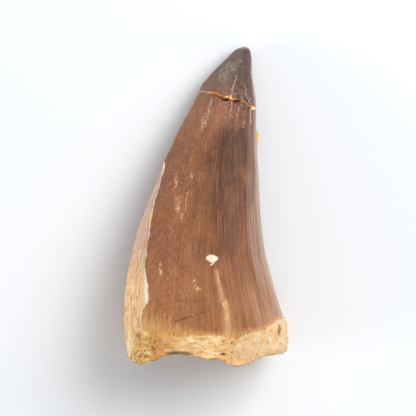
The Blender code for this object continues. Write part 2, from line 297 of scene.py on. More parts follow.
# The noises in the tooth's material: the coordinates that each follows, its lumps to the millimetre along
# them, its detail and its roughness. "place" is where a point is, "flow" runs straight along the growth
# lines, and "fan" fans with the outline.
NOISES = {
    "mottle": ("place", (0.25, 0.13, 0.25), 3.0, 0.5),
    "blotch": ("place", (0.9, 0.55, 0.9), 4.0, 0.65),
    "fine": ("place", (3.6, 1.6, 3.6), 3.0, 0.65),
    "crackle": ("place", (2.6, 2.2, 2.6), 4.0, 0.75),
    "powder": ("place", (4.2, 3.6, 4.2), 3.0, 0.75),
    "bands": ("flow", (0.8, 0.03, 1), 3.0, 0.6),
    "lines": ("flow", (3.6, 0.16, 1), 2.0, 0.6),
    "patchy": ("flow", (0.35, 0.14, 1), 2.0, 0.5),
    "wobble": ("flow", (0.7, 0.04, 1), 2.0, 0.5),
    "line gaps": ("flow", (2.6, 0.16, 1), 3.0, 0.6),
    "line relief": ("flow", (3.0, 0.12, 1), 2.0, 0.6),
    "streaks": ("flow", (2.8, 0.24, 1), 3.0, 0.65),
    "fine streaks": ("flow", (5.0, 0.4, 1), 3.0, 0.7),
    "fibre": ("fan", (1.1, 0.1, 1), 3.0, 0.6),
    "fine fibre": ("fan", (4.2, 0.45, 1), 3.0, 0.7),
    "strip crumb": ("place", (2.8, 1.6, 2.8), 3.0, 0.7),
    "bone mottle": ("place", (0.3, 0.5, 0.3), 3.0, 0.6),
    "layers": ("place", (0.42, 2.0, 1.2), 4.0, 0.62),
    "crumb": ("place", (2.0, 2.4, 2.0), 4.0, 0.7),
    "patches": ("place", (0.7, 0.9, 0.7), 3.0, 0.6),
    "sand": ("place", (4.4, 4.8, 4.4), 3.0, 0.75),
    "speck": ("place", (5.0, 3.6, 5.0), 2.0, 0.6),
    "clump": ("place", (1.2, 1.0, 1.2), 3.0, 0.6),
    "inner mottle": ("place", (0.7, 0.7, 0.7), 5.0, 0.7),
    "ragged": ("place", (2.2, 2.0, 2.2), 3.0, 0.65),
    "dots": ("place", (3.0, 1.5, 3.0), 2.0, 0.5),
    "crazing": ("place", (1.1, 0.5, 1.1), 2.0, 0.5),
    "scuffs": ("place", (0.9, 0.25, 0.9), 2.0, 0.5),
    "worms": ("place", (1.7, 0.6, 1.7), 2.0, 0.5),
}
# The fossil's gloss, and the depth of its crumbs and lines that are too fine for the mesh.
FOSSIL_GLOSS = 0.2
CRUMBS_BUMP_MM = 0.16
LINES_BUMP_MM = 0.05
# The grains of sand: specks to the millimetre, roughness and the specks' depth.
SAND_SPECKS = 9
SAND_ROUGHNESS = 0.8
SAND_BUMP_MM = 0.03

# Mesh density: points round the upper face and underside, and rings on the outside, rim and hollow.
UPPER_COLUMNS = 300
UNDER_COLUMNS = 140
OUTER_RINGS = 194
RIM_RINGS = 15
HOLLOW_RINGS = 16
BONE_START_Y = -21.5

# Grains of sand that are cemented to the bone, most of all at its front corner, and to the broken end.
GRAINS = 900
GRAIN_SIZE = (0.08, 0.22)
GRAINS_CORNER_X = (-7.0, -11.0)
GRAINS_CORNER_Y = (-24.0, -27.0)
GRAINS_ON_BONE = 0.12
GRAINS_ON_BREAK = 0.35
GRAINS_LOWEST_Z = 0.6
# How lumpy a grain is, its sides' lengths, and how far its middle stands out, all as shares of its size.
GRAIN_LUMPS = 0.09
GRAIN_SIDES = (0.6, 1.1)
GRAIN_STANDS_OUT = 0.3

# The photograph's frame: pixels across, its scale at the tooth's widest line, and the place of its centre.
PHOTO_PIXELS = 416
PIXEL_MM = 0.2
PHOTO_CENTRE = (0.64, -0.62)
WIDEST_Z = 10.0
CAMERA_HEIGHT = 1200.0
SENSOR_MM = 36.0

# The studio. Each light has a place and a size in metres and a power in watts.
FLOOR_COLOUR = (0.845, 0.863, 0.88, 1)
FLOOR_HALF_SIZE = 2.0
FLOOR_ROUGHNESS = 0.9
SKY_COLOUR = (0.97, 0.995, 1.03, 1)
SKY_STRENGTH = 0.49
LIGHTS = {
    "key": ((0.47, 0.32, 0.56), 0.55, 6.1),
    "side": ((-0.8, -0.12, 0.16), 0.4, 3.2),
}
LIGHTS_AIM = (0, 0, 0.01)


def smooth_curve(points, at):
    """The value at each place, on a smooth curve through the points."""
    knots, values = np.array(sorted(points), float).T
    slopes = np.gradient(values, knots)
    index = np.clip(np.searchsorted(knots, at) - 1, 0, len(knots) - 2)
    step = knots[index + 1] - knots[index]
    f = np.clip((at - knots[index]) / step, 0.0, 1.0)
    start = values[index] * (1 + 2 * f) * (1 - f) ** 2 + slopes[index] * step * f * (1 - f) ** 2
    end = values[index + 1] * f**2 * (3 - 2 * f) - slopes[index + 1] * step * f**2 * (1 - f)
    return start + end


def ramp(low, high, at):
    """0 before low, 1 past high, and a smooth step between them. Low may be the larger."""
    f = np.clip((at - low) / (high - low), 0.0, 1.0)
    return f * f * (3 - 2 * f)


def bump(at, width):
    """1 at zero, falling smoothly away on both sides."""
    return np.exp(-((at / width) ** 2))


def lumps(points, size, seed, octaves=2):
    """Smooth noise from about -1 to 1 over the points, with lumps of that size in millimetres."""
    shift = Vector((seed * 13.1, seed * 7.7, seed * 3.3))
    return np.array([noise.fractal(Vector(p) / size + shift, 1.0, 2.0, octaves) for p in points])


def grain(points, size, seed, octaves=1):
    """The same as lumps with another noise, quick over many points, for what the solid doesn't have."""
    chance = np.random.default_rng(seed)
    order = np.tile(chance.permutation(256), 3)
    slopes = chance.normal(size=(256, 3))
    slopes /= np.linalg.norm(slopes, axis=1)[:, None]
    total = np.zeros(len(points))
    for octave in range(octaves):
        at = points / size * 2**octave + seed * 0.37
        cell = np.floor(at).astype(int)
        f = at - cell
        fade = f**3 * (f * (f * 6 - 15) + 10)
        for corner in np.ndindex(2, 2, 2):
            spot = (cell + corner) & 255
            slope = slopes[order[order[order[spot[:, 0]] + spot[:, 1]] + spot[:, 2]]]
            weight = np.prod(np.where(corner, fade, 1 - fade), axis=1)
            total += 1.6 * weight * (slope * (f - corner)).sum(1) / 2**octave
    return total


def line_distance(x, y, line):
    """The distance of each point from a line of straight runs, seen from above."""
    nearest = np.full(len(x), 1e3)
    for (ax, ay), (bx, by) in zip(line, line[1:]):
        run = np.array([bx - ax, by - ay])
        f = np.clip(((x - ax) * run[0] + (y - ay) * run[1]) / (run @ run), 0, 1)
        nearest = np.minimum(nearest, np.hypot(x - ax - f * run[0], y - ay - f * run[1]))
    return nearest


def section(y, angle):
    """x and z on the plain body at y. Angle 0 is the front edge, a quarter turn the crest of the upper face,
    a half turn the rear edge, and three quarters the underside."""
    cap = np.sqrt(np.clip(1 - (np.maximum(y - CAP_START_Y, 0) / (TIP_Y - CAP_START_Y)) ** 2, 0, 1))
    front, rear = smooth_curve(FRONT_EDGE_X, y), smooth_curve(REAR_EDGE_X, y)
    top, under = smooth_curve(TOP_Z, y), smooth_curve(UNDERSIDE_Z, y)
    crest = front + (rear - front) * CREST_SHARE
    across, up = np.cos(angle), np.sin(angle)
    rearward = ramp(HALVES_BLEND, -HALVES_BLEND, across)
    edge = under + (top - under) * (FRONT_EDGE_LIFT + (REAR_EDGE_LIFT - FRONT_EDGE_LIFT) * rearward)
    upper_round = smooth_curve(FRONT_TOP_ROUND, y) * (1 - rearward) + REAR_TOP_ROUND * rearward
    lower_round = smooth_curve(UNDERSIDE_ROUND, y)
    reach = np.where(across > 0, front - crest, rear - crest)
    x = crest + cap * reach * np.abs(across) ** (2 / FACE_FLATNESS)
    rise = np.where(up > 0, top - edge, under - edge)
    power = 2 / np.where(up > 0, upper_round, lower_round)
    z = edge + cap * rise * np.abs(up) ** power
    return x, z


def ring_density(y):
    """How closely the rings lie along the tooth: closer at the tip, the break, the flake and the base."""
    near_break = 7.0 * bump(y - BREAK_Y, 0.9) + 1.5 * bump(y - BREAK_Y, 3.0)
    near_flake = 2.5 * bump(y - FLAKE_CENTRE[1], 1.4)
    return 1.0 + near_break + near_flake + 1.2 * ramp(BONE_START_Y, BONE_START_Y - 2, y)


def ring_levels():
    """The y of each ring of the outside, from the tip to the rim, before any of them is skewed."""
    fine = np.linspace(TIP_Y, RIM_Y, 4000)
    cap_depth = np.clip((TIP_Y - fine) / (TIP_Y - CAP_START_Y), 0.003, 1)
    share = np.cumsum(ring_density(fine) / np.sqrt(cap_depth))
    share = (share - share[0]) / (share[-1] - share[0])
    return np.interp(np.linspace(0, 1, OUTER_RINGS), share, fine)


def along_section(upper, lower, level, angle):
    """A line that crosses the upper face along one curve and the underside along another."""
    x, _ = section(np.full_like(angle, level), angle)
    return np.where(np.sin(angle) > 0, smooth_curve(upper, x), smooth_curve(lower, x))


def outer_height(level, angle):
    """A ring's y at each angle: rings near the break and near the rim follow them."""
    break_offset = along_section(BREAK_UPPER, BREAK_UNDER, BREAK_Y, angle) - BREAK_Y
    rim_offset = along_section(UPPER_RIM_Y, LOWER_RIM_Y, RIM_Y, angle) - RIM_Y
    near_break = bump(level - BREAK_Y, BREAK_REACH)
    near_rim = ramp(RIM_SKEW_END_Y, RIM_Y, level)
    return level + break_offset * near_break + rim_offset * near_rim


def inner_points(step, angle):
    """Points across the rim and into the hollow. Step runs from 0 at the rim's outer edge to 1 at the mouth
    of the hollow and 2 at its end."""
    rim_y = outer_height(np.full_like(angle, RIM_Y), angle)
    rim_x, rim_z = section(rim_y, angle)
    across, depth = np.clip(step, 0, 1), np.clip(step - 1, 0, 1)
    share = (1 - (1 - HOLLOW_SHARE) * across) * np.sqrt(1 - depth**2)
    x = HOLLOW_CENTRE[0] + (rim_x - HOLLOW_CENTRE[0]) * share
    z = HOLLOW_CENTRE[1] + (rim_z - HOLLOW_CENTRE[1]) * share
    y = rim_y + (HOLLOW_MOUTH_Y - rim_y) * ramp(0, 1, across) + HOLLOW_DEPTH * depth
    return np.column_stack([x, y, z])


def read_rows(items, name):
    """Positions or normals as rows of three."""
    values = np.empty(len(items) * 3)
    items.foreach_get(name, values)
    return values.reshape(-1, 3)


def write_points(mesh, points):
    mesh.vertices.foreach_set("co", points.astype(np.float32).ravel())
    mesh.update()


def ring_mesh(name, points, columns):
    """A closed mesh of rings between two poles. Its points are a pole, the rings and the other pole."""
    body = 1 + np.arange(len(points) - 2).reshape(-1, columns)
    beside = np.roll(body, -1, axis=1)
    quads = np.stack([body[:-1], body[1:], beside[1:], beside[:-1]], axis=2).reshape(-1, 4)
    first = np.stack([np.zeros_like(body[0]), body[0], beside[0]], axis=1)
    last = np.stack([np.full_like(body[-1], len(points) - 1), beside[-1], body[-1]], axis=1)
    mesh = bpy.data.meshes.new(name)
    mesh.from_pydata(points * MM, [], quads.tolist() + first.tolist() + last.tolist())
    return mesh


def angle_of(column):
    """The angle of each column of points: the upper face has more columns than the underside."""
    upper = math.pi * column / UPPER_COLUMNS
    under = math.pi * (1 + (column - UPPER_COLUMNS) / UNDER_COLUMNS)
    return np.where(column <= UPPER_COLUMNS, upper, under)


def ellipse_distance(x, y, centre, half_size):
    """How far each point is from an ellipse's centre: 1 is its edge."""
    return np.hypot((x - centre[0]) / half_size[0], (y - centre[1]) / half_size[1])


def blobs(x, y, places):
    """The strongest, at each point, of some soft blobs: centre, half sizes and strength."""
    return np.max([
        strength * bump(ellipse_distance(x, y, (px, py), (half_x, half_y)), 1.0)
        for px, py, half_x, half_y, strength in places
    ], axis=0)


def nearest_line(x, y, upper, lines):
    """The distance from the nearest line's edge on the upper face. A line is points and a half width."""
    distance = np.min([line_distance(x, y, line) - half_width for line, half_width in lines], axis=0)
    return np.where(upper > 0.5, np.minimum(distance, FAR), FAR)


def strip_distance(points, x, y, angle):
    """How far inside the bare strip each point is."""
    ragged = STRIP_RAGGED[0] + (STRIP_RAGGED[1] - STRIP_RAGGED[0]) * ramp(4, -8, y)
    inside = smooth_curve(ENAMEL_EDGE_X, y) - x + ragged * grain(points, 1.1, 21, 3)
    inside = np.minimum(inside, (STRIP_END_Y - y) * STRIP_TAPER)
    inside = np.where(np.cos(angle) > 0, inside, -FAR)
    return np.minimum(inside, (np.sin(angle) - STRIP_END_SINE) * STRIP_END_MM)


def break_marks(points, x, y, level, upper):
    """The old break: how far above it each point is, its open gaps, and the lumps of matrix in it."""
    gap = np.zeros(len(x))
    for gap_x, gap_y, half_length, depth in BREAK_GAPS:
        apart = ellipse_distance(x, y, (gap_x, gap_y), (half_length, GAP_HALF_WIDTH))
        apart += 0.4 * grain(points, 0.5, 25, 2)
        gap = np.maximum(gap, depth * ramp(1.15, 0.5, apart) * upper)
    apart = [ellipse_distance(x, y, (px, py), (half_x, half_y)) for px, py, half_x, half_y in FILL_LUMPS]
    lump = (1 - np.min(apart, axis=0) + 0.35 * grain(points, 0.45, 26, 2)) * upper
    return {"fissure": np.clip(level - BREAK_Y, -FAR, FAR), "gap": gap, "lump": lump}


def flake_distance(points, x, y, upper):
    """How far inside the pale flake or its tail each point is."""
    body = (1 - ellipse_distance(x, y, FLAKE_CENTRE, FLAKE_HALF_SIZE)) * min(FLAKE_HALF_SIZE)
    body += 0.16 * grain(points, 0.8, 23)
    tail = FLAKE_TAIL_HALF_WIDTH - line_distance(x, y, FLAKE_TAIL)
    return np.where(upper > 0.5, np.clip(np.maximum(body, tail), -1, 1), -1)


def streak_strength(x, y):
    """The soft pale streak, which widens downwards."""
    down = ramp(STREAK[0][1], STREAK[-1][1], y)
    half_width = STREAK_HALF_WIDTH[0] + (STREAK_HALF_WIDTH[1] - STREAK_HALF_WIDTH[0]) * down
    return bump(line_distance(x, y, STREAK), half_width)


def marks(points, level, angle, outer):
    """What each point of the surface is, as distances in millimetres or shares from 0 to 1."""
    x, y = points[:, 0] - MARKS_SHIFT[0], points[:, 1] - MARKS_SHIFT[1]
    upper = ramp(*UPPER_FACE, np.sin(angle))
    found = {"upper": upper, "broken": (~outer).astype(float)}
    found["bare"] = strip_distance(points, x, y, angle)
    bone_line = smooth_curve(BONE_LINE_Y, x) - (1 - upper) * lumps(points, 6, 9)
    found["bone"] = bone_line - y + 0.3 * grain(points, 1.5, 22, 3)
    found.update(break_marks(points, x, y, level, upper))
    found["flake"] = flake_distance(points, x, y, upper)

    for name, lines in (("hairline", HAIRLINES), ("scratch", SCRATCHES), ("cream", CREAM_LINES)):
        found[name] = nearest_line(x, y, upper, lines)
    for name, places in (("curls", CURLS), ("dust", DUST)):
        found[name] = blobs(x, y, places) * upper
    for name, places in (("stain_and_shade", STAINS_AND_SHADE), ("pit", PITS)):
        found[name] = blobs(x, y, places) * upper * np.where(outer, 1.0, MARKS_ON_BREAK)
    found["streak"] = streak_strength(x, y) * upper
    worn_from, bone_at = smooth_curve(WORN_FROM_Y, x), smooth_curve(BONE_LINE_Y, x)
    found["worn"] = np.clip((worn_from - y) / (worn_from - bone_at), -1, 1.5) * upper
    crust = bump(y - CRUST_Y, CRUST_HALF_LENGTH) * bump(angle - math.pi, CRUST_HALF_TURN)
    found["crust"] = crust * (1 + 0.7 * grain(points, 0.9, 27, 3))
    for name in ("bare", "fissure", "flake"):
        found[name] = np.where(outer, found[name], -FAR)
    return found


def enamel_relief(points, enamel):
    """Faint flutes, growth lines and a fine grain. The flutes go on under the bone, as in the solid."""
    y = points[:, 1]
    flutes = lumps(points * [1, 1 / FLUTE_STRETCH, 1], FLUTE_SIZE, 4) * ramp(*FLUTE_START_Y, y)
    growth = grain(points * [1, 1 / GROWTH_STRETCH, 1], GROWTH_SIZE, 31) * ramp(*GROWTH_START_Y, y)
    fine = grain(points, 0.5, 32, 3)
    return FLUTE_HEIGHT * flutes + (GROWTH_HEIGHT * growth + ENAMEL_GRAIN_HEIGHT * fine) * enamel


def strip_relief(points, found):
    """The bare strip lies lower than the enamel by its thickness, and is fibrous."""
    bare = ramp(-0.08, 0.12, found["bare"]) * ramp(*STRIP_DEPTH_Y, points[:, 1])
    fibres = FIBRE_HEIGHT * grain(points * [1, 1 / FIBRE_STRETCH, 1], 0.75, 33, 3)
    return bare * (fibres + STRIP_GRAIN_HEIGHT * grain(points, 0.45, 34) - ENAMEL_THICKNESS)


def bone_relief(points, found):
    """The bone swells out, and is lumpy. It is terraced in the middle and sandy towards the front."""
    x = points[:, 0]
    bone = ramp(-0.12, 0.12, found["bone"])
    sandy = ramp(*SANDY_X, x)
    terraced = ramp(*TERRACE_FRONT_X, x) * ramp(*TERRACE_REAR_X, x)
    terraces = TERRACE_DEPTH * np.abs(grain(points * [0.3, 1, 1], 1.7, 36, 2)) * terraced
    height = BONE_SWELL + BONE_LUMP * lumps(points, 2.6, 2, 3) - terraces
    return bone * (height + (BONE_GRAIN_HEIGHT + SANDY_GRAIN_HEIGHT * sandy) * grain(points, 0.75, 35, 3))


def break_relief(points, level, found):
    """The groove of the break with its gaps and lumps, and the slight step up to the tip's side of it."""
    groove = BREAK_DEPTH * bump(level - BREAK_Y, BREAK_WIDTH) * (0.75 + 0.5 * grain(points, 1.2, 37))
    step = ramp(BREAK_Y - 0.15, BREAK_Y + 0.15, level) * ramp(BREAK_Y + 3, BREAK_Y, level)
    lump = ramp(-0.1, 0.4, found["lump"]) * (1 + 0.6 * grain(points, 0.4, 38))
    return BREAK_STEP_HEIGHT * step - groove - found["gap"] + FILL_LUMP_HEIGHT * lump


def marks_relief(points, found, enamel):
    """What the small marks add or take away."""
    height = -HAIRLINE_DEPTH * ramp(0.06, -0.03, found["hairline"])
    height -= SCRATCH_DEPTH * bump(found["scratch"], 0.2)
    curls = np.maximum(grain(points * [1, 0.7, 1], 0.4, 42), 0)
    height += CURL_HEIGHT * found["curls"] * curls * enamel
    cream = ramp(0.05, -0.15, found["cream"]) * (1 + 0.4 * grain(points, 0.7, 43))
    height += CREAM_HEIGHT * cream * (1 - enamel)
    height += FLAKE_HEIGHT * ramp(-0.06, 0.14, found["flake"]) * (1 + 0.15 * grain(points, 0.6, 39))
    height += CRUST_HEIGHT * found["crust"] * (1 + 0.3 * grain(points, 0.8, 40))
    return height - found["pit"]


def outer_relief(points, level, found):
    """How far the outside stands out from the plain body, along its normals."""
    enamel = ramp(0.1, -0.1, found["bare"]) * ramp(0.15, -0.15, found["bone"])
    height = enamel_relief(points, enamel) + strip_relief(points, found) + bone_relief(points, found)
    return height + break_relief(points, level, found) + marks_relief(points, found, enamel)


def broken_relief(points):
    """The same for the rough broken end and the hollow."""
    coarse = BROKEN_LUMP * lumps(points, BROKEN_LUMP_SIZE, 6)
    medium = BROKEN_GRAIN * lumps(points, BROKEN_GRAIN_SIZE, 7)
    return coarse + medium + BROKEN_SAND_HEIGHT * grain(points, 0.6, 41, 3)


def arc_from_middle(points, columns):
    """How far round its ring each point is from the middle of its face, negative towards the front edge."""
    body = points[1:-1].reshape(-1, columns, 3)
    runs = np.linalg.norm(np.diff(body, axis=1, append=body[:, :1]), axis=2)
    arc = np.cumsum(runs, axis=1) - runs
    crest = UPPER_COLUMNS // 2
    keel = UPPER_COLUMNS + UNDER_COLUMNS // 2
    on_top = arc - arc[:, crest : crest + 1]
    beneath = arc[:, keel : keel + 1] - arc
    girth = np.where(np.arange(columns) <= UPPER_COLUMNS, on_top, beneath)
    return np.concatenate([[0.0], girth.ravel(), [0.0]])


def surface_coordinates(points, angle, arc):
    """Coordinates for the material: the share across from the front edge, a set that fans with the outline,
    and one in which the growth lines, which hardly fan, run straight."""
    y = points[:, 1]
    front, rear = smooth_curve(FRONT_EDGE_X, y), smooth_curve(REAR_EDGE_X, y)
    across = (points[:, 0] - front) / (rear - front)
    side = np.where(np.sin(angle) > 0, 0.0, UNDERSIDE_SHIFT)
    turn = np.where(np.sin(angle) > 0, angle, 2 * math.pi - angle) / math.pi
    unrolled = front + (rear - front) * CREST_SHARE + arc
    flare = np.maximum(rear - LINES_MEET_X, 0) * ramp(0, 1, across)
    lines = (LINES_MEET_X + flare - unrolled) * np.exp(LINES_FAN * y)
    return across, np.column_stack([turn * FAN_WIDTH, y, side]), np.column_stack([lines, y, side])


def store(mesh, name, values):
    """Keeps a number or a vector for each point, under a name that the material reads."""
    kind = "FLOAT" if values.ndim == 1 else "FLOAT_VECTOR"
    layer = mesh.attributes.new(name, kind, "POINT")
    layer.data.foreach_set("value" if values.ndim == 1 else "vector", values.astype(np.float32).ravel())


def in_scene(mesh):
    obj = bpy.data.objects.new(mesh.name, mesh)
    bpy.context.scene.collection.objects.link(obj)
    return obj


def tooth_surface():
    """The fine surface of the tooth. Returns the object, its points in millimetres, normals and marks."""
    columns = UPPER_COLUMNS + UNDER_COLUMNS
    rings = OUTER_RINGS - 1 + RIM_RINGS + HOLLOW_RINGS
    ring = np.concatenate([[0], np.repeat(np.arange(1, rings), columns), [rings]])
    angle = angle_of(np.concatenate([[0], np.tile(np.arange(columns), rings - 1), [0]]))
    outer = ring < OUTER_RINGS
    level = ring_levels()[np.minimum(ring, OUTER_RINGS - 1)]

    y = outer_height(level, angle)
    x, z = section(y, angle)
    points = np.column_stack([x, y, z])
    past_rim = np.maximum(ring - OUTER_RINGS + 1, 0)
    step = np.where(past_rim <= RIM_RINGS, past_rim / RIM_RINGS, 1 + (past_rim - RIM_RINGS) / HOLLOW_RINGS)
    points[~outer] = inner_points(step[~outer], angle[~outer])
    mesh = ring_mesh("tooth_surface", points, columns)

    normals = read_rows(mesh.vertex_normals, "vector")
    found = marks(points, level, angle, outer)
    height = np.where(outer, outer_relief(points, level, found), broken_relief(points))
    found["across"], found["fan"], found["flow"] = surface_coordinates(
        points, angle, arc_from_middle(points, columns))
    points = points + normals * height[:, None]
    points[:, 2] = np.maximum(points[:, 2], 0.0)

    points -= [*CAD_MIDDLE, 0.0]
    write_points(mesh, points * MM)
    found["place"] = points
    for name, values in found.items():
        store(mesh, name, values)
    mesh.shade_smooth()
    return in_scene(mesh), points, read_rows(mesh.vertex_normals, "vector"), found


def sand_grains(points, normals, found):
    """Grains cemented to the bone and in the hollow, as one mesh."""
    chance = np.random.default_rng(7)
    x, y = points[:, 0], points[:, 1]
    corner = ramp(*GRAINS_CORNER_X, x) * ramp(*GRAINS_CORNER_Y, y)
    likely = ramp(0.3, 1.2, found["bone"]) * (GRAINS_ON_BONE + corner)
    likely = np.where(found["broken"] < 0.5, likely, GRAINS_ON_BREAK) * (points[:, 2] > GRAINS_LOWEST_Z)
    seeds = chance.choice(len(points), GRAINS, p=likely / likely.sum())

    template = bmesh.new()
    bmesh.ops.create_icosphere(template, subdivisions=2, radius=1.0)
    ball = np.array([v.co for v in template.verts])
    faces = np.array([[v.index for v in face.verts] for face in template.faces])
    template.free()

    all_points, all_faces, tints = [], [], []
    for count, seed in enumerate(seeds):
        size = GRAIN_SIZE[0] + (GRAIN_SIZE[1] - GRAIN_SIZE[0]) * chance.random() ** 2
        turn = np.linalg.qr(chance.normal(size=(3, 3)))[0]
        lumpy = ball * (1 + chance.normal(size=(len(ball), 1)) * GRAIN_LUMPS)
        shape = (lumpy * chance.uniform(*GRAIN_SIDES, 3)) @ turn * size
        centre = points[seed] + normals[seed] * size * GRAIN_STANDS_OUT
        shape[:, 2] = np.maximum(shape[:, 2], -centre[2])
        all_points.append(shape + centre)
        all_faces.append(faces + count * len(ball))
        tints.append(np.full(len(ball), chance.random()))

    mesh = bpy.data.meshes.new("matrix_grains")
    mesh.from_pydata(np.concatenate(all_points) * MM, [], np.concatenate(all_faces).tolist())
    store(mesh, "tint", np.concatenate(tints))
    mesh.shade_smooth()
    return in_scene(mesh)


def srgb(red, green, blue):
    """A colour on the photograph's scale of 0 to 255, as the shader's linear values."""
    values = np.array([red, green, blue]) / 255
    linear = np.where(values <= 0.04045, values / 12.92, ((values + 0.055) / 1.055) ** 2.4)
    return (*linear, 1.0)


class Shader:
    """Short calls that add nodes to a material and hand on their outputs."""

    def __init__(self, name):
        self.material = bpy.data.materials.new(name)
        self.material.use_nodes = True
        self.nodes = self.material.node_tree.nodes
        self.links = self.material.node_tree.links
        self.surface = self.nodes["Principled BSDF"]
        self.made = {}

    def put(self, socket, value):
        """Links an output to the socket, or sets its own value. A tuple is a colour from 0 to 255."""
        if isinstance(value, bpy.types.NodeSocket):
            self.links.new(value, socket)
        else:
            socket.default_value = srgb(*value) if isinstance(value, tuple) else value

    def attribute(self, name, output="Fac"):
        node = self.nodes.get(name) or self.nodes.new("ShaderNodeAttribute")
        node.name = node.attribute_name = name
        return node.outputs[output]

    def along(self):
        """0 at the tip and 1 at the bone."""
        y = self.part(self.attribute("flow", "Vector"), "Y")
        return self.maths("MULTIPLY_ADD", y, -1 / ALONG_MM, TIP_Y / ALONG_MM)

    def maths(self, operation, a, b=0.0, c=0.0):
        node = self.nodes.new("ShaderNodeMath")
        node.operation = operation
        for socket, value in zip(node.inputs, (a, b, c)):
            self.put(socket, value)
        return node.outputs["Value"]

    def add(self, a, b):
        return self.maths("ADD", a, b)

    def times(self, first, *others):
        for other in others:
            first = self.maths("MULTIPLY", first, other)
        return first

    def most(self, a, b):
        return self.maths("MAXIMUM", a, b)

    def part(self, vector, axis):
        node = self.nodes.new("ShaderNodeSeparateXYZ")
        self.put(node.inputs[0], vector)
        return node.outputs[axis]

    def noise(self, vector, stretch, detail=2.0, roughness=0.5):
        """Noise from 0 to 1, with about one lump to each unit of the stretched vector."""
        stretched = self.nodes.new("ShaderNodeVectorMath")
        stretched.operation = "MULTIPLY"
        self.put(stretched.inputs[0], vector)
        stretched.inputs[1].default_value = stretch
        node = self.nodes.new("ShaderNodeTexNoise")
        self.put(node.inputs["Vector"], stretched.outputs["Vector"])
        node.inputs["Scale"].default_value = 1.0
        node.inputs["Detail"].default_value = detail
        node.inputs["Roughness"].default_value = roughness
        return node.outputs["Fac"]

    def texture(self, name):
        """One of the noises in the list. Each is made once."""
        if name not in self.made:
            coordinates, stretch, detail, roughness = NOISES[name]
            vector = self.attribute(coordinates, "Vector")
            self.made[name] = self.noise(vector, stretch, detail, roughness)
        return self.made[name]

    def on(self, name, low, high, to_low=0.0, to_high=1.0):
        """A smooth step on one of the noises."""
        return self.step(self.texture(name), low, high, to_low, to_high)

    def waver(self, value, name, by):
        """A value that one of the noises moves up and down by up to half of a number."""
        return self.add(value, self.times(self.add(self.texture(name), -0.5), by))

    def ridges(self, name, width):
        """Thin winding lines at 1 on a ground of 0, where one of the noises crosses its middle."""
        off_line = self.maths("ABSOLUTE", self.add(self.texture(name), -0.5))
        return self.step(off_line, width, 0.0)

    def growth_lines(self):
        """Thin lines at 1 that run along the crown, with gaps in them."""
        across = self.times(self.part(self.attribute("flow", "Vector"), "X"), math.tau / LINE_SPACING)
        phase = self.add(across, self.times(self.texture("wobble"), 16.0))
        return self.step(self.waver(self.maths("SINE", phase), "line gaps", 6.0), 0.0, 1.8)

    def step(self, value, low, high, to_low=0.0, to_high=1.0):
        """A smooth step from one value to another. Low may be the larger."""
        node = self.nodes.new("ShaderNodeMapRange")
        node.interpolation_type = "SMOOTHSTEP"
        for name, number in zip(("From Min", "From Max", "To Min", "To Max"), (low, high, to_low, to_high)):
            node.inputs[name].default_value = number
        self.put(node.inputs["Value"], value)
        return node.outputs["Result"]

    def mix(self, factor, a, b):
        node = self.nodes.new("ShaderNodeMix")
        node.data_type = "RGBA"
        self.put(node.inputs["Factor"], factor)
        colours = [socket for socket in node.inputs if socket.type == "RGBA"]
        self.put(colours[0], a)
        self.put(colours[1], b)
        return next(socket for socket in node.outputs if socket.type == "RGBA")

    def paint(self, colour, layers):
        """Lays colours over one another. Each layer is a colour and the factors of its strength."""
        for new, *factors in layers:
            colour = self.mix(self.times(*factors), colour, new)
        return colour

    def gradient(self, value, stops):
        node = self.nodes.new("ShaderNodeValToRGB")
        node.color_ramp.interpolation = "B_SPLINE"
        elements = node.color_ramp.elements
        while len(elements) < len(stops):
            elements.new(0.5)
        for element, (place, colour) in zip(elements, stops):
            element.position = place
            element.color = srgb(*colour)
        self.put(node.inputs["Fac"], value)
        return node.outputs["Color"]

    def bumps(self, height, distance_mm, normal=None):
        node = self.nodes.new("ShaderNodeBump")
        node.inputs["Distance"].default_value = distance_mm * MM
        self.put(node.inputs["Height"], height)
        if normal is not None:
            self.put(node.inputs["Normal"], normal)
        return node.outputs["Normal"]


def enamel_ground(s, across, along):
    """The enamel's brown, darker in its rear half, with soft mottling and blotches."""
    colour = s.gradient(along, [
        (0.0, (104, 90, 84)),
        (0.11, (104, 87, 81)),
        (0.2, (152, 103, 78)),
        (0.28, (146, 98, 73)),
        (0.38, (127, 80, 59)),
        (0.5, (147, 96, 66)),
        (0.66, (143, 90, 60)),
        (0.8, (165, 109, 72)),
        (1.0, (166, 108, 60)),
    ])
    rearward = s.gradient(along, [
        (0.05, (86, 70, 67)),
        (0.14, (78, 61, 58)),
        (0.22, (76, 50, 41)),
        (0.36, (62, 35, 26)),
        (0.47, (89, 52, 32)),
        (0.7, (103, 58, 34)),
        (0.82, (140, 85, 48)),
        (1.0, (166, 109, 58)),
    ])
    moved = s.add(across, s.step(along, 0.62, 0.85, 0.0, -0.1))
    moved = s.add(moved, s.step(along, 0.26, 0.34, -0.1, 0.0))
    clear = s.step(along, 0.12, 0.24, 0.15, 1.0)
    calm = s.step(across, 0.35, 0.6, 1.0, 0.4)
    dark_band = s.times(s.step(along, 0.29, 0.36), s.step(along, 0.47, 0.38))
    return s.paint(colour, [
        (rearward, s.step(moved, 0.34, 0.66)),
        ((172, 110, 68), clear, s.on("mottle", 0.4, 0.7, 0.0, 0.35)),
        ((118, 72, 54), s.on("mottle", 0.5, 0.3, 0.0, 0.3)),
        ((184, 120, 78), clear, calm, s.on("blotch", 0.53, 0.7, 0.0, 0.35)),
        ((112, 64, 42), calm, s.on("blotch", 0.46, 0.3, 0.0, 0.4)),
        ((80, 46, 35), dark_band, s.step(across, 0.3, 0.55, 0.0, 0.5)),
    ])


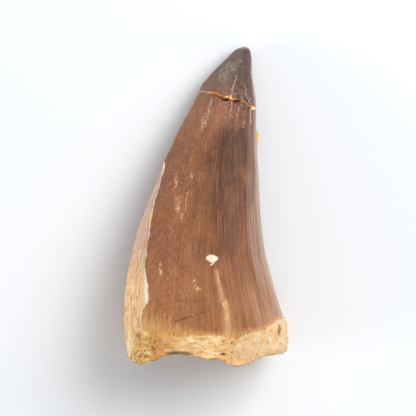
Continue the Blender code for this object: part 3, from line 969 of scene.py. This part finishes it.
def with_edges(s, colour, across, along):
    """The pale shoulder beside the rear edge, partly its own colour and partly a painted sheen, ragged near
    the bone, and painted light along both edges.
    """
    # The shoulder's colour: its own pale tone with a painted sheen and pale streaks laid in it.
    shoulder = s.gradient(along, [
        (0.08, (76, 63, 60)),
        (0.35, (108, 84, 74)),
        (0.55, (140, 111, 97)),
        (0.75, (148, 117, 99)),
        (1.0, (180, 138, 106)),
    ])
    shoulder = s.mix(s.on("lines", 0.42, 0.66, 0.0, 0.3), shoulder, (204, 182, 168))
    ragged = s.waver(across, "bands", s.step(along, 0.72, 0.92, 0.15, 0.5))
    near_bone = s.step(along, 0.74, 0.9)
    above = s.times(s.step(ragged, 0.86, 0.94, 0.0, 0.85), s.step(near_bone, 0.0, 1.0, 1.0, 0.6))
    on_shoulder_and_sheen = s.most(above, s.times(near_bone, s.step(ragged, 0.78, 0.94, 0.0, 0.6)))
    return s.paint(colour, [
        (shoulder, on_shoulder_and_sheen, s.step(along, 0.1, 0.3, 0.4, 1.0)),
        # A painted rim of light along the rear edge, then painted light along the front edge.
        ((204, 180, 164), s.step(across, 0.955, 0.985, 0.0, 0.5)),
        ((206, 150, 96), s.step(across, 0.03, 0.01, 0.0, 0.35), s.on("blotch", 0.4, 0.56, 0.2, 1.0)),
    ])


def with_grain(s, colour, across, along):
    """Dark and pale growth lines, mostly in the rear half, and specks, mostly in the front half."""
    streaky = s.times(s.step(across, 0.12, 0.5, 0.35, 1.0), s.step(along, 0.14, 0.3, 0.2, 1.0))
    speckled = s.times(s.step(along, 0.12, 0.24, 0.15, 1.0), s.step(across, 0.2, 0.6, 1.0, 0.3))
    return s.paint(colour, [
        ((84, 46, 30), s.on("bands", 0.5, 0.36), streaky, 0.25),
        ((80, 44, 30), s.on("lines", 0.5, 0.34), streaky, 0.3),
        ((182, 128, 96), s.growth_lines(), streaky, s.on("patchy", 0.3, 0.6, 0.15, 0.42)),
        ((204, 148, 114), s.on("fine", 0.54, 0.7, 0.0, 0.4), speckled),
        ((84, 46, 32), s.on("fine", 0.47, 0.3, 0.0, 0.6), speckled),
    ])


def with_wear(s, colour, across, along):
    """The tip's crackle, dust and worn point, the crazing below it, and scuffs in the front half."""
    on_tip = s.step(along, 0.24, 0.1)
    crazed = s.times(s.step(along, 0.11, 0.17), s.step(along, 0.31, 0.24), s.step(across, 0.3, 0.5))
    scuffed = s.times(s.step(across, 0.62, 0.4), s.step(along, 0.2, 0.3, 0.0, 0.3))
    return s.paint(colour, [
        ((160, 138, 124), s.on("crackle", 0.53, 0.68, 0.0, 0.5), on_tip),
        ((70, 52, 48), s.on("crackle", 0.47, 0.32, 0.0, 0.5), on_tip),
        ((184, 150, 122), s.ridges("crazing", 0.035), crazed, 0.45),
        ((200, 146, 114), s.ridges("scuffs", 0.03), s.on("patchy", 0.42, 0.58), scuffed),
        ((188, 178, 152), s.step(s.attribute("dust"), 0.15, 0.6), s.on("powder", 0.5, 0.6), 0.75),
        ((186, 164, 140), s.step(along, 0.012, 0.003, 0.0, 0.6)),
    ])


def enamel_colour(s):
    """Brown enamel with growth lines, darker at the rear and greyer at the tip and on its shoulder, where a
    painted sheen lies.
    """
    across, along = s.attribute("across"), s.along()
    colour = enamel_ground(s, across, along)
    for layer in (with_edges, with_grain, with_wear):
        colour = layer(s, colour, across, along)
    return colour


def dentine_colour(s):
    """The bare strip: lilac grey with ochre fibres, and cream and yellow towards the base."""
    inwards, along, upper = s.attribute("bare"), s.along(), s.attribute("upper")
    low = s.step(along, 0.62, 0.84)
    in_band = s.times(s.step(inwards, 0.5, 1.1), s.step(inwards, 3.2, 2.2), s.step(low, 0.0, 1.0, 1.0, 0.5))
    on_rim = s.times(s.step(inwards, 0.5, 0.2), s.step(along, 0.84, 0.7, 0.2, 1.0), upper)
    return s.paint(s.mix(low, (202, 164, 144), (250, 207, 148)), [
        (s.mix(low, (212, 184, 170), (218, 182, 144)), in_band, s.on("fibre", 0.3, 0.55, 0.35, 0.95)),
        ((230, 164, 96), s.on("fibre", 0.5, 0.64, 0.0, 0.75), s.step(along, 0.5, 0.68, 0.3, 1.0)),
        ((252, 232, 204), s.on("fine fibre", 0.52, 0.66, 0.0, 0.8)),
        ((162, 110, 76), s.on("fine fibre", 0.47, 0.33, 0.0, 0.85)),
        ((156, 96, 48), s.on("strip crumb", 0.43, 0.3, 0.0, 0.8), low),
        ((242, 228, 220), on_rim, s.on("fibre", 0.3, 0.5, 0.5, 1.0)),
    ])


def bone_colour(s, sideways, lengthways):
    """Bone with sand in it: ochre and granular at the front, layered in the middle, smooth at the rear."""
    grainy = s.step(s.waver(sideways, "bone mottle", 8), -4.0, -10.0)
    rear = s.step(s.waver(sideways, "bone mottle", 6), 4.5, 8.0)
    corner = s.step(s.waver(sideways, "bone mottle", 4), -9.5, -12.5)
    rough = s.step(rear, 0.0, 1.0, 1.0, 0.35)
    pitted = s.step(grainy, 0.0, 1.0, 0.2, 0.5)
    return s.paint((238, 191, 127), [
        ((216, 160, 88), grainy),
        ((246, 197, 114), corner),
        ((222, 190, 146), rear),
        ((222, 160, 88), s.on("bone mottle", 0.5, 0.66, 0.0, 0.5)),
        ((253, 224, 172), s.on("layers", 0.5, 0.64, 0.0, 0.7), rough),
        ((200, 140, 78), s.on("layers", 0.47, 0.34, 0.0, 0.7), rough),
        ((252, 226, 176), s.on("crumb", 0.56, 0.72, 0.0, 0.6), rough),
        ((146, 96, 46), s.on("crumb", 0.43, 0.32), pitted),
        ((242, 210, 180), rear, s.on("patches", 0.5, 0.64, 0.0, 0.5)),
        ((220, 168, 104), rear, s.on("patches", 0.48, 0.36, 0.0, 0.5)),
        ((222, 173, 118), rear, s.step(lengthways, -27.6, -29.8, 0.0, 0.5)),
        ((208, 141, 62), grainy, s.step(corner, 1.0, 0.0, 0.0, 0.7)),
        ((255, 234, 194), s.on("sand", 0.52, 0.68, 0.0, 0.45)),
        ((166, 112, 58), s.on("sand", 0.48, 0.32, 0.0, 0.5)),
        # Brown stains, and a painted shadow along the slit at the bottom edge.
        ((140, 92, 48), s.step(s.waver(s.attribute("stain_and_shade"), "crumb", 2.6), 0.62, 0.9, 0.0, 0.8)),
    ])


def with_worn_enamel(s, colour, bare, sideways):
    """Where the enamel fades into the bone in ochre streaks, and the soft pale streak below the flake."""
    worn_to = s.waver(s.attribute("worn"), "streaks", 2.0)
    worn = s.times(s.step(worn_to, -0.05, 0.85, 0.0, 0.88), s.step(sideways, 6.0, -6.0, 0.65, 1.0))
    worn_colour = s.paint((207, 152, 86), [
        ((230, 188, 130), s.on("fine streaks", 0.5, 0.66, 0.0, 0.7)),
        ((160, 104, 58), s.on("fine streaks", 0.49, 0.34, 0.0, 0.8)),
    ])
    broken_up = s.step(s.waver(s.texture("streaks"), "speck", 0.5), 0.2, 0.62)
    return s.paint(colour, [
        (worn_colour, worn, s.step(bare, 1.0, 0.0)),
        ((216, 172, 118), s.attribute("streak"), broken_up, 0.8),
    ])


def with_cream(s, colour, off_enamel, lengthways):
    """Cream matter on the bare strip and on the bone."""
    cream = s.step(s.waver(s.attribute("cream"), "clump", 1.5), 0.2, -0.2)
    cream = s.times(cream, s.step(lengthways, -22.0, -25.0, 1.0, 0.45), off_enamel)
    return s.mix(cream, colour, s.mix(s.step(lengthways, -6.0, -10.0), (250, 204, 128), (255, 238, 204)))


def broken_end_colour(s, lengthways):
    """Mottled tan on the broken face, with painted shade that deepens into the hollow."""
    return s.paint((176, 124, 72), [
        ((226, 184, 122), s.on("inner mottle", 0.35, 0.65)),
        ((112, 74, 42), s.on("speck", 0.42, 0.3, 0.0, 0.7)),
        # Painted shade, deeper into the hollow.
        ((116, 76, 42), s.step(lengthways, -28.5, -22.0, 0.0, 0.6)),
    ])


def with_break(s, colour, sideways):
    """The old break: orange matrix in it, a painted shadow below it, and pale lumps."""
    beyond = s.waver(s.attribute("fissure"), "ragged", 0.6)
    narrow = s.most(s.step(sideways, 1.8, 0.6), s.step(sideways, 6.0, 7.5))
    off_break = s.add(s.maths("ABSOLUTE", beyond), s.step(narrow, 0.0, 1.0, -0.24, -0.06))
    fill_colour = s.mix(s.on("speck", 0.42, 0.66), (166, 86, 26), (236, 168, 72))
    fill_colour = s.mix(s.step(sideways, 1.8, 0.6, 0.0, 0.7), fill_colour, (232, 190, 140))
    lump_colour = s.mix(s.on("clump", 0.4, 0.6), (224, 162, 78), (255, 232, 168))
    below = s.times(s.step(beyond, -0.5, -0.35), s.step(beyond, -0.05, -0.2))
    return s.paint(colour, [
        (fill_colour, s.step(off_break, 0.1, -0.04)),
        # A painted shadow of the crack along the underside of the fill.
        ((96, 48, 18), below, s.step(sideways, 0.8, 1.8), s.step(sideways, 8.6, 7.4, 0.0, 0.8)),
        (lump_colour, s.step(s.attribute("lump"), 0.0, 0.2)),
    ])


def with_small_marks(s, colour, off_enamel):
    """Hairline cracks, curls of matrix, scratches, the crust and the flake, with painted shade in the pits
    and in the break's gaps.
    """
    hairline = s.step(s.waver(s.attribute("hairline"), "speck", 0.4), 0.04, -0.06, 0.0, 0.75)
    near = s.waver(s.waver(s.attribute("curls"), "speck", 0.8), "clump", 1.2)
    worms = s.times(s.ridges("worms", 0.09), s.on("speck", 0.35, 0.5))
    curls = s.times(s.step(near, 0.3, 1.0, 0.0, 0.85), s.most(worms, s.on("dots", 0.56, 0.68)))
    crust_colour = s.mix(s.on("clump", 0.4, 0.6), (206, 148, 74), (240, 204, 122))
    flake_colour = s.mix(s.on("speck", 0.4, 0.55), (216, 186, 152), (250, 234, 212))
    return s.paint(colour, [
        ((226, 194, 160), hairline),
        ((228, 190, 146), curls, s.step(off_enamel, 1.0, 0.0)),
        ((96, 52, 32), s.step(s.attribute("scratch"), 0.32, 0.08, 0.0, 0.65)),
        (crust_colour, s.step(s.waver(s.attribute("crust"), "speck", 1.0), 0.25, 0.5)),
        (flake_colour, s.step(s.attribute("flake"), -0.03, 0.03)),
        # Painted shade in the pits, deepest along the slit at the bottom edge.
        ((118, 70, 32), s.step(s.waver(s.attribute("pit"), "speck", 1.0), 0.25, 0.5, 0.0, 0.85)),
        # Painted shade, near black, in the break's open gaps.
        ((42, 22, 14), s.step(s.attribute("gap"), 0.3, 0.55)),
    ])


def fossil_material():
    """The whole surface of the tooth. Each part is laid over the one before, and the small marks last."""
    s = Shader("fossil_enamel")
    place = s.attribute("place", "Vector")
    sideways, lengthways = s.part(place, "X"), s.part(place, "Y")
    bare = s.step(s.waver(s.attribute("bare"), "speck", 0.16), -0.04, 0.04)
    in_bone = s.step(s.waver(s.attribute("bone"), "streaks", 1.2), -0.25, 0.35)
    off_enamel = s.most(in_bone, bare)

    colour = s.mix(bare, enamel_colour(s), dentine_colour(s))
    colour = with_worn_enamel(s, colour, bare, sideways)
    colour = s.mix(in_bone, colour, bone_colour(s, sideways, lengthways))
    colour = with_cream(s, colour, off_enamel, lengthways)
    colour = s.mix(s.attribute("broken"), colour, broken_end_colour(s, lengthways))
    colour = with_break(s, colour, sideways)
    s.put(s.surface.inputs["Base Color"], with_small_marks(s, colour, off_enamel))

    rough_part = s.most(off_enamel, s.attribute("broken"))
    roughness = s.waver(s.step(rough_part, 0.0, 1.0, 0.5, 0.85), "clump", 0.2)
    s.put(s.surface.inputs["Roughness"], roughness)
    s.surface.inputs["Specular IOR Level"].default_value = FOSSIL_GLOSS
    lines = s.add(s.texture("line relief"), s.times(s.growth_lines(), 0.3))
    crumbs = s.times(s.add(s.texture("crumb"), s.times(s.texture("speck"), 0.5)), rough_part)
    normal = s.bumps(crumbs, CRUMBS_BUMP_MM, s.bumps(lines, LINES_BUMP_MM))
    s.put(s.surface.inputs["Normal"], normal)
    return s.material


def grain_material():
    """The sand: each grain has a tint of its own, and is a little specked."""
    s = Shader("matrix_sand")
    colour = s.gradient(s.attribute("tint"), [
        (0.0, (140, 98, 56)),
        (0.25, (206, 156, 92)),
        (0.7, (232, 192, 130)),
        (1.0, (252, 228, 186)),
    ])
    coordinates = s.nodes.new("ShaderNodeTexCoord").outputs["Object"]
    speck = s.noise(coordinates, [SAND_SPECKS / MM] * 3)
    colour = s.mix(s.step(speck, 0.35, 0.65, 0.0, 0.3), colour, (150, 100, 56))
    s.put(s.surface.inputs["Base Color"], colour)
    s.surface.inputs["Roughness"].default_value = SAND_ROUGHNESS
    s.put(s.surface.inputs["Normal"], s.bumps(speck, SAND_BUMP_MM))
    return s.material


def floor():
    """A level sheet under the tooth, of pale paper."""
    mesh = bpy.data.meshes.new("floor")
    plane = bmesh.new()
    bmesh.ops.create_grid(plane, x_segments=1, y_segments=1, size=FLOOR_HALF_SIZE)
    plane.to_mesh(mesh)
    plane.free()
    material = bpy.data.materials.new("paper")
    material.use_nodes = True
    surface = material.node_tree.nodes["Principled BSDF"]
    surface.inputs["Base Color"].default_value = FLOOR_COLOUR
    surface.inputs["Roughness"].default_value = FLOOR_ROUGHNESS
    mesh.materials.append(material)
    in_scene(mesh)


def area_light(name, place, size, watts):
    light = bpy.data.lights.new(name, "AREA")
    light.size = size
    light.energy = watts
    lamp = bpy.data.objects.new(name, light)
    lamp.location = place
    lamp.rotation_euler = (Vector(LIGHTS_AIM) - Vector(place)).to_track_quat("-Z", "Y").to_euler()
    bpy.context.scene.collection.objects.link(lamp)


def lights():
    """Soft light from all round, a key light from above and a weaker one from the side."""
    world = bpy.data.worlds.new("studio")
    bpy.context.scene.world = world
    world.use_nodes = True
    background = world.node_tree.nodes["Background"]
    background.inputs["Color"].default_value = SKY_COLOUR
    background.inputs["Strength"].default_value = SKY_STRENGTH
    for name, (place, size, watts) in LIGHTS.items():
        area_light(name, place, size, watts)


def camera():
    """Looks straight down, with the photograph's scale at the height of the tooth's widest line."""
    data = bpy.data.cameras.new("camera")
    data.sensor_width = SENSOR_MM
    data.lens = SENSOR_MM * (CAMERA_HEIGHT - WIDEST_Z) / (PHOTO_PIXELS * PIXEL_MM)
    data.clip_start = 0.01
    eye = bpy.data.objects.new("camera", data)
    x, y = np.subtract(PHOTO_CENTRE, CAD_MIDDLE) * MM
    eye.location = (x, y, CAMERA_HEIGHT * MM)
    bpy.context.scene.collection.objects.link(eye)
    bpy.context.scene.camera = eye


camera()
lights()
floor()
surface, surface_points, surface_normals, surface_marks = tooth_surface()
surface.data.materials.append(fossil_material())
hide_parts("tooth")
grains = sand_grains(surface_points, surface_normals, surface_marks)
grains.data.materials.append(grain_material())
for piece in (surface, grains):
    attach(piece, "root")

bpy.context.scene.view_settings.view_transform = "Standard"
